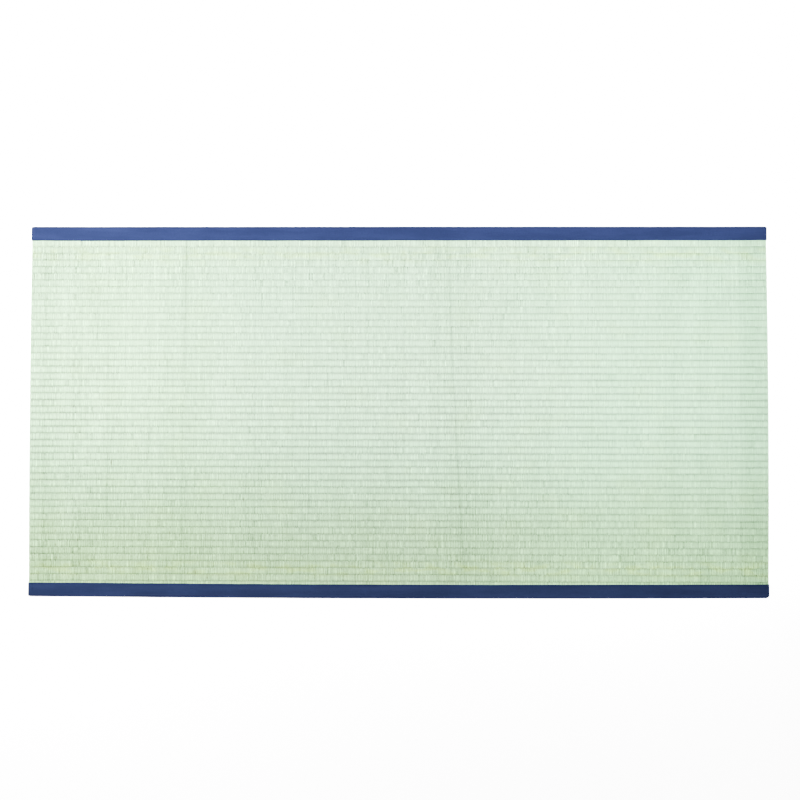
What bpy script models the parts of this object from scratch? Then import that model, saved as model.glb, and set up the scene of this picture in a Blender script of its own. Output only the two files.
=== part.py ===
"""Tatami mat: a ribbed sheet of woven rush with a cloth border folded over each of its long edges.

The sheet is one piece. Its two short ends are turned under, so the mat is two layers thick there, and
two old fold lines cross it from border to border. Each border is one strip of cloth, folded round the
sheet's long edge.

Blender 4.5, metres, +Z up. X runs along the mat and Y across it. The origin lies in the plane that the
mat rests on, under the middle of the sheet.
"""

import math
from collections import namedtuple

import bmesh
import bpy

# Whole mat
MAT_LENGTH = 1.760
MAT_WIDTH = 0.883
END_BOW = {-1: 0.0015, 1: 0.0033}
SIDE_BOW = {-1: 0.0033, 1: 0.0002}
FIT_GAP = 0.0004

# Woven rush
RUSH_THICKNESS = 0.0028
PRESSED_THICKNESS = 0.0022
RIB_PITCH = 0.016
RIB_COUNT = 50
BACK_GROOVE_Y = 0.3945
GROOVE_DEPTH = 0.0009
SHOULDER_SHARE = 0.26

# Ends of the sheet, turned under
HEM_WIDTH = 0.030
LAYER_GAP = 0.0005
SLOPE_LENGTH = 0.070

# Old fold lines, each flanked by a soft rise
CREASE_DEPTH = 0.0004
CREASE_RISE = 0.0010
RISE_REACH = 0.025
CREASE_REACH = 0.075

# Border cloth
BORDER_WIDTH = 0.030
BORDER_CLOTH = 0.0010
BORDER_OVERHANG = 0.0008
BORDER_CROWN = 0.0003
TIP_LENGTH = 0.0015
CORNER_LENGTH = 0.007
CORNER_CUT = {(-1, -1): 0.0010, (1, -1): 0.0040, (-1, 1): 0.0010, (1, 1): 0.0010}

Crease = namedtuple("Crease", "back_x middle_x front_x")
CREASES = (
    Crease(back_x=-0.5095, middle_x=-0.5140, front_x=-0.5190),
    Crease(back_x=0.1165, middle_x=0.1335, front_x=0.1580),
)

# One line of points along the sheet: side is 0, or the long edge that it follows, and depth how far it
# lies below the top of the ribs.
Row = namedtuple("Row", "y depth side")

# One line of points across the sheet at one of its ends. It lies in the hem below, in the fold round the
# end, or in the sheet above. inset is the distance in from the end, turn the angle round the fold (-90
# where it meets the hem, 90 where it meets the sheet above), rise the share of the full step up onto the
# hem, and relief the share of the full groove depth.
EndLine = namedtuple("EndLine", "layer inset turn rise relief")
END_LINES = (
    EndLine("hem", inset=HEM_WIDTH, turn=None, rise=0.0, relief=0.0),
    EndLine("fold", inset=0.0, turn=-90, rise=None, relief=0.0),
    EndLine("fold", inset=0.0, turn=-45, rise=None, relief=0.3),
    EndLine("fold", inset=0.0, turn=0, rise=None, relief=1.0),
    EndLine("fold", inset=0.0, turn=45, rise=None, relief=1.0),
    EndLine("fold", inset=0.0, turn=90, rise=None, relief=1.0),
    EndLine("sheet", inset=HEM_WIDTH, turn=None, rise=1.0, relief=1.0),
    EndLine("sheet", inset=HEM_WIDTH + SLOPE_LENGTH / 2, turn=None, rise=0.5, relief=1.0),
    EndLine("sheet", inset=HEM_WIDTH + SLOPE_LENGTH, turn=None, rise=0.0, relief=1.0),
)

# One line of points across the sheet beside an old fold.
CreaseLine = namedtuple("CreaseLine", "crease offset lift")
CREASE_LINES = tuple(
    CreaseLine(crease, offset, lift)
    for crease in CREASES
    for offset, lift in (
        (-CREASE_REACH, 0.0),
        (-RISE_REACH, CREASE_RISE),
        (0.0, 0.0),
        (RISE_REACH, CREASE_RISE),
        (CREASE_REACH, 0.0),
    )
)

# Colours and finishes
Finish = namedtuple("Finish", "colour roughness")
RUSH_FINISH = Finish(colour=(0.56, 0.63, 0.49), roughness=0.62)
BORDER_FINISH = Finish(colour=(0.045, 0.085, 0.23), roughness=0.70)


def smooth_step(share):
    """0 at 0, 1 at 1, level at both, and held there outside."""
    share = min(max(share, 0.0), 1.0)
    return share * share * (3 - 2 * share)


def side_edge(side, x):
    """Y of the mat's long edge on that side, at x along the mat."""
    bow = SIDE_BOW[side] * (1 - (2 * x / MAT_LENGTH) ** 2)
    return side * (MAT_WIDTH / 2 + bow)


def end_edge(end, y):
    """X of the sheet's short end on that side, at y across the mat."""
    bow = END_BOW[end] * (1 - (2 * y / MAT_WIDTH) ** 2)
    return end * (MAT_LENGTH / 2 + bow)


def corner_cut(end, side, x):
    """How far the mat's rounded corner draws the long edge in, at x along the mat."""
    start = MAT_LENGTH / 2 - CORNER_LENGTH
    share = (end * x - start) / (CORNER_LENGTH + BORDER_OVERHANG)
    return CORNER_CUT[(end, side)] * min(max(share, 0.0), 1.0) ** 2


def hem_rise(x):
    """Share of the full step up onto the hem, at x along the mat."""
    foot = MAT_LENGTH / 2 - HEM_WIDTH - SLOPE_LENGTH
    return min(max((abs(x) - foot) / SLOPE_LENGTH, 0.0), 1.0)


def border_height(x):
    """Height of the folded border, which takes in the sheet and, near the ends, its hem."""
    layers = PRESSED_THICKNESS + hem_rise(x) * (PRESSED_THICKNESS + LAYER_GAP)
    return layers + 2 * (FIT_GAP + BORDER_CLOTH)


def under_border(y):
    """1 where the sheet lies inside a border, 0 out in the open, and between on the way."""
    inner = MAT_WIDTH / 2 - BORDER_WIDTH
    ramp = inner - (BACK_GROOVE_Y - RIB_PITCH / 2)
    return smooth_step(1 + (abs(y) - inner) / ramp)


def rush_thickness(y):
    """Thickness of the woven rush at the top of its ribs."""
    return RUSH_THICKNESS + (PRESSED_THICKNESS - RUSH_THICKNESS) * under_border(y)


def rush_lift(y):
    """Height of the sheet's underside, which climbs onto the border's lower layer."""
    return (BORDER_CLOTH + FIT_GAP) * under_border(y)


def rush_rows():
    """The lines along the sheet: its two edges, its grooves, and both shoulders of every rib."""
    inner = MAT_WIDTH / 2 - BORDER_WIDTH
    shoulder = SHOULDER_SHARE * RIB_PITCH
    rows = [
        Row(y=None, depth=0.0, side=1),
        Row(y=inner, depth=0.0, side=0),
        Row(y=BACK_GROOVE_Y + shoulder, depth=0.0, side=0),
    ]
    for rib in range(RIB_COUNT + 1):
        groove_y = BACK_GROOVE_Y - rib * RIB_PITCH
        rows.append(Row(y=groove_y, depth=GROOVE_DEPTH, side=0))
        if rib < RIB_COUNT:
            rows.append(Row(y=groove_y - shoulder, depth=0.0, side=0))
            rows.append(Row(y=groove_y - RIB_PITCH + shoulder, depth=0.0, side=0))
    rows.append(Row(y=-inner, depth=0.0, side=0))
    rows.append(Row(y=None, depth=0.0, side=-1))
    return rows


def row_y(row, x):
    """Y of a row of points at x along the mat. The outermost rows follow the inside of the border's fold."""
    if row.side == 0:
        return row.y
    end = 1 if x > 0 else -1
    drawn_in = border_height(x) / 2 + FIT_GAP + corner_cut(end, row.side, x)
    return side_edge(row.side, x) - row.side * drawn_in


def end_points(line, end, row):
    """The outer and the inner point of the sheet where an end line meets a row."""
    y = row_y(row, end * (MAT_LENGTH / 2 - line.inset))
    thickness = rush_thickness(y)
    lift = rush_lift(y)
    x = end_edge(end, y) - end * line.inset
    depth = row.depth * line.relief
    if line.layer == "hem":
        return (x, y, lift), (x, y, lift + thickness)
    if line.layer == "sheet":
        inner_z = lift + line.rise * (thickness + LAYER_GAP)
        return (x, y, inner_z + thickness - depth), (x, y, inner_z)
    radius = thickness + LAYER_GAP / 2
    angle = math.radians(line.turn)
    centre_x = x - end * radius
    centre_z = lift + radius
    points = []
    for reach in (radius - depth, LAYER_GAP / 2):
        fold_x = centre_x + end * reach * math.cos(angle)
        points.append((fold_x, y, centre_z + reach * math.sin(angle)))
    return tuple(points)


def crease_x(crease, y):
    """X of an old fold at y across the mat: the curve through its back, middle and front points."""
    across = 2 * y / MAT_WIDTH
    slant = (crease.back_x - crease.front_x) / 2
    sag = (crease.back_x + crease.front_x) / 2 - crease.middle_x
    return crease.middle_x + slant * across + sag * across**2


def crease_points(line, row):
    """The outer and the inner point of the sheet where a crease line meets a row."""
    x = crease_x(line.crease, row.side * MAT_WIDTH / 2 if row.side else row.y) + line.offset
    y = row_y(row, x)
    x = crease_x(line.crease, y) + line.offset
    open_share = 1 - under_border(y)
    inner_z = rush_lift(y) + line.lift * open_share
    pressed = CREASE_DEPTH * open_share if line.offset == 0 else 0.0
    outer_z = inner_z + rush_thickness(y) - max(row.depth, pressed)
    return (x, y, outer_z), (x, y, inner_z)


def sheet_points(rows):
    """A list of lines along the sheet's length, each a list of (outer, inner) points, one for each row."""
    left = [[end_points(line, -1, row) for row in rows] for line in END_LINES]
    creases = [[crease_points(line, row) for row in rows] for line in CREASE_LINES]
    right = [[end_points(line, 1, row) for row in rows] for line in reversed(END_LINES)]
    return left + creases + right


def grid_steps(vertex, columns, rows):
    """Column, counted from the left, and row, counted from the back, of a vertex in a grid made at size 1."""
    column = round((vertex.co.x + 1) / 2 * (columns - 1))
    row = round((1 - vertex.co.y) / 2 * (rows - 1))
    return column, row


def make_rush_sheet():
    """The woven sheet: a grid, extruded to a closed slab, with every point moved to its place."""
    rows = rush_rows()
    lines = sheet_points(rows)
    mesh = bmesh.new()
    bmesh.ops.create_grid(mesh, x_segments=len(lines) - 1, y_segments=len(rows) - 1, size=1.0)
    made = bmesh.ops.extrude_face_region(mesh, geom=mesh.faces[:])
    inner = {item for item in made["geom"] if isinstance(item, bmesh.types.BMVert)}
    bmesh.ops.translate(mesh, verts=list(inner), vec=(0.0, 0.0, -1.0))
    bmesh.ops.recalc_face_normals(mesh, faces=mesh.faces[:])
    for vertex in mesh.verts:
        column, row = grid_steps(vertex, len(lines), len(rows))
        vertex.co = lines[column][row][1 if vertex in inner else 0]
    return mesh


def border_stations():
    """Places along a border strip where its section is set, from one end to the other."""
    tip = MAT_LENGTH / 2 + BORDER_OVERHANG
    corner = MAT_LENGTH / 2 - CORNER_LENGTH
    step = MAT_LENGTH / 2 - HEM_WIDTH
    foot = step - SLOPE_LENGTH
    half = [foot / 4, foot / 2, foot * 3 / 4, foot, (foot + step) / 2, step]
    half += [corner, tip - CORNER_LENGTH / 2, tip - TIP_LENGTH, tip]
    return [-x for x in reversed(half)] + [0.0] + half


def border_section(side, x):
    """Middle line of the border cloth round the sheet's edge, from its upper hem to its lower hem."""
    end = 1 if x > 0 else -1
    height = border_height(x)
    radius = height / 2
    middle = BORDER_CLOTH / 2
    edge = side_edge(side, x) - side * corner_cut(end, side, x)
    centre_y = edge - side * radius
    hem_y = side_edge(side, x) - side * BORDER_WIDTH
    section = [
        (hem_y, height - middle),
        ((hem_y + centre_y) / 2, height - middle + BORDER_CROWN),
    ]
    for turn in (90, 45, 0, -45, -90):
        angle = math.radians(turn)
        reach = radius - middle
        section.append((centre_y + side * reach * math.cos(angle), radius + reach * math.sin(angle)))
    section.append((hem_y, middle))
    return section


def make_border(side):
    """One border strip as an open surface, the middle of its cloth."""
    stations = border_stations()
    sections = [border_section(side, x) for x in stations]
    mesh = bmesh.new()
    count = len(sections[0])
    bmesh.ops.create_grid(mesh, x_segments=len(stations) - 1, y_segments=count - 1, size=1.0)
    for vertex in mesh.verts:
        column, row = grid_steps(vertex, len(stations), count)
        y, z = sections[column][row]
        vertex.co = (stations[column], y, z)
    return mesh


def make_material(name, finish):
    """A Principled material of one colour and roughness."""
    material = bpy.data.materials.new(name)
    material.use_nodes = True
    shader = material.node_tree.nodes["Principled BSDF"]
    shader.inputs["Base Color"].default_value = (*finish.colour, 1.0)
    shader.inputs["Roughness"].default_value = finish.roughness
    shader.inputs["Metallic"].default_value = 0.0
    return material


def add_object(name, mesh, material, collection):
    """Turns a bmesh into a named object of the collection."""
    data = bpy.data.meshes.new(name)
    mesh.to_mesh(data)
    mesh.free()
    data.materials.append(material)
    thing = bpy.data.objects.new(name, data)
    collection.objects.link(thing)
    return thing


def add_cloth_thickness(thing):
    """Gives an open surface the thickness of the border cloth, half to each side."""
    solid = thing.modifiers.new("cloth thickness", "SOLIDIFY")
    solid.thickness = BORDER_CLOTH
    solid.offset = 0.0
    solid.use_even_offset = True


def main():
    for thing in list(bpy.data.objects):
        bpy.data.objects.remove(thing, do_unlink=True)
    mat = bpy.data.collections.new("tatami mat")
    bpy.context.scene.collection.children.link(mat)
    rush = make_material("woven rush", RUSH_FINISH)
    cloth = make_material("border cloth", BORDER_FINISH)
    sheet = add_object("rush_sheet", make_rush_sheet(), rush, mat)
    sheet.data.shade_smooth()
    sheet.data.set_sharp_from_angle(angle=math.radians(40))
    for name, side in (("border_back", 1), ("border_front", -1)):
        border = add_object(name, make_border(side), cloth, mat)
        border.data.shade_smooth()
        add_cloth_thickness(border)


main()
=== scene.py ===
"""A tatami mat lying on a pale floor: rush stems woven into ribs, and a navy cloth border on each long edge.

The base of the weave is one sheet with the mat's ribs, turned-under ends and old fold lines. The stems that
show between one groove and the next lie on it, one small closed spindle each. The borders are folded from
thin cloth and sewn through near their inner edges. Everything is in metres: X along the mat, Y across it
towards the back border, Z up.
"""

import logging
import math
from dataclasses import dataclass
from enum import Enum
from typing import Any

import bpy
import numpy as np
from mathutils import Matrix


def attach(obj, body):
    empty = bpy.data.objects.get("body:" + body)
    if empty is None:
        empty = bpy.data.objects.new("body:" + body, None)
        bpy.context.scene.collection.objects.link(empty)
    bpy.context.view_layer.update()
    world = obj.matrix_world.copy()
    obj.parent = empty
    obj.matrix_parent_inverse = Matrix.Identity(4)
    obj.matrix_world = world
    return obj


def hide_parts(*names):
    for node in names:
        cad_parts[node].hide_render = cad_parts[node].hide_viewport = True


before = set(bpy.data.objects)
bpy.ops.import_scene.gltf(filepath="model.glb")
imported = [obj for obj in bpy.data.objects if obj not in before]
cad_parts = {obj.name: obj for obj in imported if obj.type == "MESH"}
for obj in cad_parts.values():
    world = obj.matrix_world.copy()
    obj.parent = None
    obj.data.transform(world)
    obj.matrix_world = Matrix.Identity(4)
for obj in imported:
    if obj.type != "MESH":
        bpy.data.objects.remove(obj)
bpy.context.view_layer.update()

LOG = logging.getLogger("tatami_mat")
MM = 0.001

Colour = tuple[float, float, float]


class Side(Enum):
    """A long edge of the mat, with the sign of its Y."""

    BACK = 1
    FRONT = -1


def smooth_step(share: np.ndarray) -> np.ndarray:
    """Eases a share from 0 to 1, level at both.

    Args:
        share: Values, of which those outside 0 to 1 are held at the nearer one.

    Returns:
        The eased values.
    """
    held = np.clip(share, 0.0, 1.0)
    return held * held * (3 - 2 * held)


@dataclass(frozen=True)
class Crease:
    """An old fold line across the mat: three points of its valley, and how strongly its painted shade shows
    at each end.
    """

    back_x: float
    middle_x: float
    front_x: float
    back_mark: float
    front_mark: float

    def terms(self) -> tuple[float, float]:
        """Describes the line by the share of the half width that a point lies at.

        Returns:
            Its slant and its sag.
        """
        slant = (self.back_x - self.front_x) / 2
        sag = (self.back_x + self.front_x) / 2 - self.middle_x
        return slant, sag


@dataclass(frozen=True)
class MatForm:
    """The form that all the pieces of the mat share."""

    length: float = 1.760
    width: float = 0.883
    end_bows: tuple[float, float] = (2.4 * MM, 3.3 * MM)
    back_bow: float = 0.2 * MM
    front_bow: float = 3.3 * MM
    rush: float = 2.8 * MM
    pressed: float = 2.2 * MM
    rib_pitch: float = 16 * MM
    rib_count: int = 50
    back_groove_y: float = 0.3945
    hem: float = 30 * MM
    layer_gap: float = 0.5 * MM
    slope: float = 70 * MM
    border_width: float = 30 * MM
    border_wall: float = 1.0 * MM
    border_overhang: float = 0.8 * MM
    border_crown: float = 0.3 * MM
    fit_gap: float = 0.4 * MM
    corner_length: float = 7 * MM
    corner_cut: float = 1.0 * MM
    round_corner_cut: float = 4.0 * MM
    bow_starts: float = 0.60
    bow_full: float = 0.80
    crease_rise: float = 0.6 * MM
    crease_dip: float = 0.45 * MM
    crease_width: float = 4 * MM
    crease_near: float = 25 * MM
    crease_reach: float = 105 * MM
    unevenness: float = 0.12 * MM
    creases: tuple[Crease, ...] = (
        Crease(back_x=-0.5075, middle_x=-0.5138, front_x=-0.5175, back_mark=1.0, front_mark=0.42),
        Crease(back_x=0.1180, middle_x=0.1370, front_x=0.1625, back_mark=0.85, front_mark=0.85),
    )

    @property
    def half(self) -> float:
        """Half the mat's length."""
        return self.length / 2

    @property
    def border_inner(self) -> float:
        """Distance of the borders' inner edges from the middle line."""
        return self.width / 2 - self.border_width

    @property
    def front_groove_y(self) -> float:
        """Y of the groove nearest to the front border."""
        return self.back_groove_y - self.rib_count * self.rib_pitch

    def edge_y(self, side: Side, x: np.ndarray) -> np.ndarray:
        """Y of a long edge of the mat."""
        bow = self.back_bow if side is Side.BACK else self.front_bow
        return side.value * (self.width / 2 + bow * (1 - (x / self.half) ** 2))

    def corner(self, side: Side, x: np.ndarray) -> np.ndarray:
        """How far the mat's corners draw a long edge in.

        Args:
            side: The long edge.
            x: Places along the mat.

        Returns:
            The distance at each place, in metres.
        """
        share = (np.abs(x) - self.half + self.corner_length) / (self.corner_length + self.border_overhang)
        rounded = (x > 0) & (side is Side.FRONT)
        cut = np.where(rounded, self.round_corner_cut, self.corner_cut)
        return cut * np.clip(share, 0.0, 1.0) ** 2

    def hem_rise(self, x: np.ndarray) -> np.ndarray:
        """Share of the step up onto the turned-under end."""
        foot = self.half - self.hem - self.slope
        return smooth_step((np.abs(x) - foot) / self.slope)

    def border_height(self, x: np.ndarray) -> np.ndarray:
        """Height of a border, which takes in the sheet and, near the ends, its hem."""
        layers = self.pressed + self.hem_rise(x) * (self.pressed + self.layer_gap)
        return layers + 2 * (self.fit_gap + self.border_wall)

    def under_border(self, y: np.ndarray) -> np.ndarray:
        """1 inside a border, 0 in the open, and between on the way."""
        ramp = self.border_inner - (self.back_groove_y - self.rib_pitch / 2)
        return smooth_step(1 + (np.abs(y) - self.border_inner) / ramp)

    def thickness(self, y: np.ndarray) -> np.ndarray:
        """Thickness of the woven sheet at the top of its ribs."""
        return self.rush + (self.pressed - self.rush) * self.under_border(y)

    def lift(self, y: np.ndarray) -> np.ndarray:
        """Height of the sheet's underside, which climbs onto the border's lower layer."""
        return (self.border_wall + self.fit_gap) * self.under_border(y)

    def crease_x(self, crease: Crease, y: np.ndarray) -> np.ndarray:
        """X of a fold line.

        Args:
            crease: The fold line.
            y: Places across the mat.

        Returns:
            Its X at each place.
        """
        slant, sag = crease.terms()
        across = 2 * y / self.width
        return crease.middle_x + slant * across + sag * across**2

    def crease_lift(self, x: np.ndarray, y: np.ndarray) -> np.ndarray:
        """Height of the soft rises beside the fold lines.

        Args:
            x: Places along the mat.
            y: Places across it.

        Returns:
            The height at each place, nothing at the fold lines themselves and away from them.
        """
        total = np.zeros(np.broadcast(x, y).shape)
        for crease in self.creases:
            away = np.abs(x - self.crease_x(crease, y))
            near = np.sin(np.clip(away / self.crease_near, 0, 1) * math.pi / 2)
            far = 1 - smooth_step((away - self.crease_near) / (self.crease_reach - self.crease_near))
            total = total + self.crease_rise * near * far
        return total * (1 - self.under_border(y))

    def crease_dip_at(self, x: np.ndarray, y: np.ndarray) -> np.ndarray:
        """Depth of the narrow valley pressed into the top of the weave along the fold lines.

        Args:
            x: Places along the mat.
            y: Places across it.

        Returns:
            The depth at each place.
        """
        total = np.zeros(np.broadcast(x, y).shape)
        for crease in self.creases:
            away = (x - self.crease_x(crease, y)) / self.crease_width
            total = total + self.crease_dip * np.exp(-(away**2))
        return total * (1 - self.under_border(y))

    def wander(self, x: np.ndarray, y: np.ndarray) -> np.ndarray:
        """The slight unevenness of the sheet's upper side.

        Args:
            x: Places along the mat.
            y: Places across it.

        Returns:
            The height at each place, never above the sheet's full height.
        """
        waves = np.sin(31 * x + 9 * y) * np.sin(23 * y - 7 * x + 1.3)
        waves = waves + 0.6 * np.sin(67 * x + 21 * y + 0.7) * np.sin(41 * y + 0.4)
        return self.unevenness * (waves / 1.6 - 1) / 2 * (1 - self.under_border(y))

    def fold_radius(self, y: np.ndarray) -> np.ndarray:
        """Outer radius of the fold round each short end."""
        return self.thickness(y) + self.layer_gap / 2

    def end_shift(self, x: np.ndarray, y: np.ndarray) -> np.ndarray:
        """How far the bow of the short ends moves a point along the mat.

        Args:
            x: Places along the mat.
            y: Places across it.

        Returns:
            The distance at each place.
        """
        bow = np.where(x > 0, self.end_bows[1], self.end_bows[0])
        ramp = smooth_step((np.abs(x) - self.bow_starts) / (self.bow_full - self.bow_starts))
        return np.sign(x) * bow * ramp * (1 - (2 * y / self.width) ** 2)

    def place(
        self,
        sign: np.ndarray,
        reach: np.ndarray,
        turn: np.ndarray,
        back: np.ndarray,
        y: np.ndarray,
        depth: np.ndarray,
    ) -> np.ndarray:
        """Puts points of the sheet in space.

        Args:
            sign: -1 towards the left end, 1 towards the right.
            reach: Distance from the middle, held at where the fold round the end begins.
            turn: Angle round that fold, from 0 on the upper side to pi on the hem below.
            back: Distance back along the hem below.
            y: Places across the mat.
            depth: Depth below the sheet's outer face.

        Returns:
            The points, with their three coordinates last.
        """
        radius = self.fold_radius(y)
        reach = np.minimum(reach, self.half - radius)
        x = sign * (reach + (radius - depth) * np.sin(turn) - back)
        folded = self.lift(y) + radius + (radius - depth) * np.cos(turn)
        x_flat = sign * reach
        thick = self.thickness(y)
        upper = self.lift(y) + self.hem_rise(x_flat) * (thick + self.layer_gap) + thick - depth
        upper = upper + self.crease_lift(x_flat, y)
        z = np.where(turn > 0, folded, upper)
        x = x + self.end_shift(np.where(turn > 0, sign * self.half, x_flat), y)
        return np.stack(np.broadcast_arrays(x, y, z), axis=-1)


@dataclass
class Value:
    """A number that varies over a surface: one socket of a material's nodes."""

    shader: "Shader"
    socket: bpy.types.NodeSocket

    def _join(self, operation: str, first: Any, second: Any) -> "Value":
        """Adds a Math node on two numbers."""
        return self.shader.value("ShaderNodeMath", {"operation": operation}, {0: first, 1: second})

    def __add__(self, other: Any) -> "Value":
        return self._join("ADD", self, other)

    def __radd__(self, other: Any) -> "Value":
        return self._join("ADD", other, self)

    def __sub__(self, other: Any) -> "Value":
        return self._join("SUBTRACT", self, other)

    def __rsub__(self, other: Any) -> "Value":
        return self._join("SUBTRACT", other, self)

    def __mul__(self, other: Any) -> "Value":
        return self._join("MULTIPLY", self, other)

    def __rmul__(self, other: Any) -> "Value":
        return self._join("MULTIPLY", other, self)

    def __truediv__(self, other: Any) -> "Value":
        return self._join("DIVIDE", self, other)

    def __pow__(self, other: Any) -> "Value":
        return self._join("POWER", self, other)

    def apply(self, operation: str, other: Any = 0.0) -> "Value":
        """The result of another Math operation on this number and, where it takes one, a second."""
        return self._join(operation, self, other)

    def ease(self, low: float, high: float) -> "Value":
        """0 below low, 1 above high, and a smooth way between."""
        settings = {"interpolation_type": "SMOOTHSTEP"}
        return self.shader.value("ShaderNodeMapRange", settings, {0: self, 1: low, 2: high, 3: 0.0, 4: 1.0})


class Shader:
    """A new material and the nodes that lead to its Principled shader."""

    def __init__(self, name: str, roughness: float, specular: float) -> None:
        """Makes the material.

        Args:
            name: The material's name.
            roughness: Roughness where nothing varies it.
            specular: Specular level, the same all over.
        """
        self.material = bpy.data.materials.new(name)
        self.material.use_nodes = True
        self.tree = self.material.node_tree
        self.surface = self.tree.nodes["Principled BSDF"]
        self.surface.inputs["Roughness"].default_value = roughness
        self.surface.inputs["Specular IOR Level"].default_value = specular

    def node(self, kind: str, settings: dict[str, Any], inputs: dict[int | str, Any]) -> bpy.types.Node:
        """Adds one node.

        Args:
            kind: The node's type.
            settings: Its settings.
            inputs: Values or links for its sockets, by place or name.

        Returns:
            The node.
        """
        made = self.tree.nodes.new(kind)
        for name, value in settings.items():
            setattr(made, name, value)
        for key, value in inputs.items():
            self.feed(made.inputs[key], value)
        return made

    def feed(self, socket: bpy.types.NodeSocket, value: Any) -> None:
        """Links a value to a socket, or sets the socket to a plain number or colour.

        Args:
            socket: The socket.
            value: A number that varies, another socket, or a plain number or colour.
        """
        if isinstance(value, Value):
            self.tree.links.new(value.socket, socket)
        elif isinstance(value, bpy.types.NodeSocket):
            self.tree.links.new(value, socket)
        elif isinstance(value, tuple) and socket.type == "RGBA":
            socket.default_value = (*value, 1.0)
        else:
            socket.default_value = value

    def value(
        self, kind: str, settings: dict[str, Any], inputs: dict[int | str, Any], output: int | str = 0
    ) -> Value:
        """Adds a node and wraps one of its outputs as a number."""
        return Value(self, self.node(kind, settings, inputs).outputs[output])

    def place(self, source: str = "Object") -> bpy.types.NodeSocket:
        """The coordinates that a pattern reads, Object or UV."""
        return self.node("ShaderNodeTexCoord", {}, {}).outputs[source]

    def scaled(self, place: bpy.types.NodeSocket, scale: Colour) -> bpy.types.NodeSocket:
        """Multiplies coordinates axis by axis.

        Args:
            place: The coordinates.
            scale: A factor for each axis.

        Returns:
            The new coordinates.
        """
        made = self.node("ShaderNodeVectorMath", {"operation": "MULTIPLY"}, {0: place})
        made.inputs[1].default_value = scale
        return made.outputs[0]

    def parts(self, place: bpy.types.NodeSocket) -> tuple[Value, Value, Value]:
        """The three coordinates as numbers."""
        outputs = self.node("ShaderNodeSeparateXYZ", {}, {0: place}).outputs
        return Value(self, outputs[0]), Value(self, outputs[1]), Value(self, outputs[2])

    def noise(self, place: bpy.types.NodeSocket, scale: Colour, detail: float = 2.0) -> Value:
        """Noise from 0 to 1, with its own scale along each axis."""
        inputs = {"Vector": self.scaled(place, scale), "Scale": 1.0, "Detail": detail}
        return self.value("ShaderNodeTexNoise", {}, inputs)

    def attribute(self, name: str) -> Value:
        """A number stored with the piece's points."""
        return self.value("ShaderNodeAttribute", {"attribute_name": name}, {}, "Fac")

    def mix(self, share: Any, first: Any, second: Any) -> bpy.types.NodeSocket:
        """A colour between two, at a share of the way."""
        made = self.node("ShaderNodeMix", {"data_type": "RGBA"}, {0: share, 6: first, 7: second})
        return made.outputs[2]

    def shade(self, colour: Any, factor: Value) -> bpy.types.NodeSocket:
        """A colour made darker or lighter by a number."""
        made = self.node("ShaderNodeVectorMath", {"operation": "SCALE"}, {0: colour, "Scale": factor})
        return made.outputs[0]

    def bump(self, height: Value, distance: float, strength: float = 1.0) -> None:
        """Lets a height shape the surface's light.

        Args:
            height: A height from 0 to 1.
            distance: What 1 stands for, in metres.
            strength: Share of the effect.
        """
        inputs = {"Height": height, "Distance": distance, "Strength": strength}
        made = self.node("ShaderNodeBump", {}, inputs)
        self.feed(self.surface.inputs["Normal"], made.outputs[0])

    def finish(self, colour: Any, roughness: Value | None = None) -> bpy.types.Material:
        """Links what varies over the surface.

        Args:
            colour: The colour.
            roughness: A roughness that varies, if it does.

        Returns:
            The material.
        """
        self.feed(self.surface.inputs["Base Color"], colour)
        if roughness is not None:
            self.feed(self.surface.inputs["Roughness"], roughness)
        return self.material


@dataclass(frozen=True)
class Blemish:
    """A dark fleck on a stem, with its place, its length along the stem and how dark it is."""

    x: float
    y: float
    length: float
    dark: float = 0.6


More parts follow.
